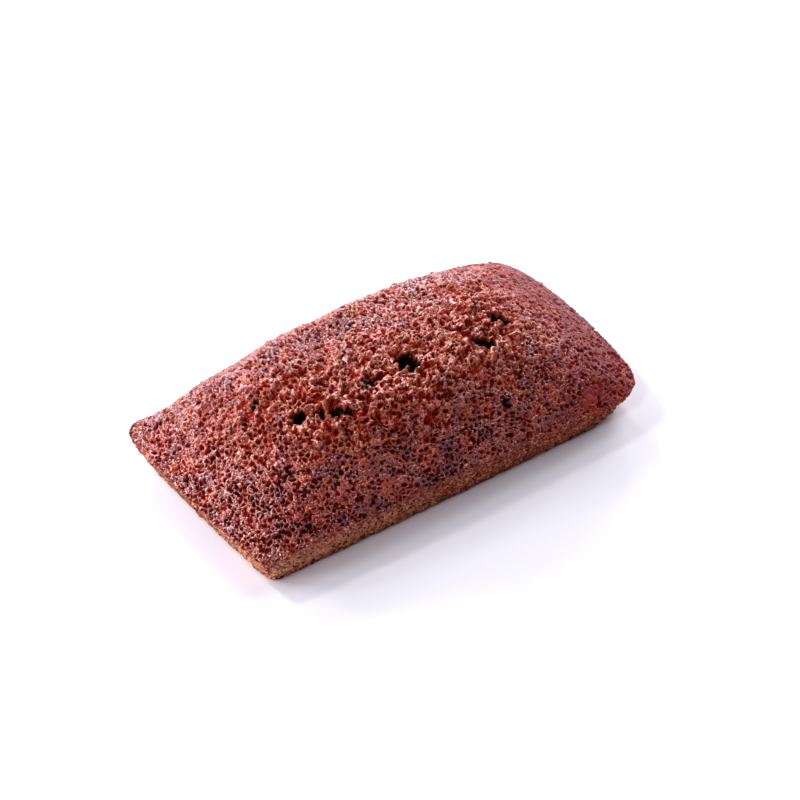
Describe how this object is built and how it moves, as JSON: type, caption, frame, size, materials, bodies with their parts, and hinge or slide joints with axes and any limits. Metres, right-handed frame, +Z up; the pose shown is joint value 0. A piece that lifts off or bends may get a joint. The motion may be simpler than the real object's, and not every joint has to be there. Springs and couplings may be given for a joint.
{
  "type": "chocolate financier cake",
  "caption": "Oblong chocolate almond cake with a flat base, sides flared by the mould, and a domed, pitted crust split along its crest.",
  "frame": {"origin": "centre of the flat base that the cake rests on", "axes": "+X along the cake's length, +Y across it, +Z up"},
  "size_m": [0.085, 0.0452, 0.0204],
  "materials": {
    "crumb": "baked chocolate crust, pitted, with a faint buttery sheen"
  },
  "bodies": {
    "root": {"cake": "crumb"}
  },
  "joints": []
}
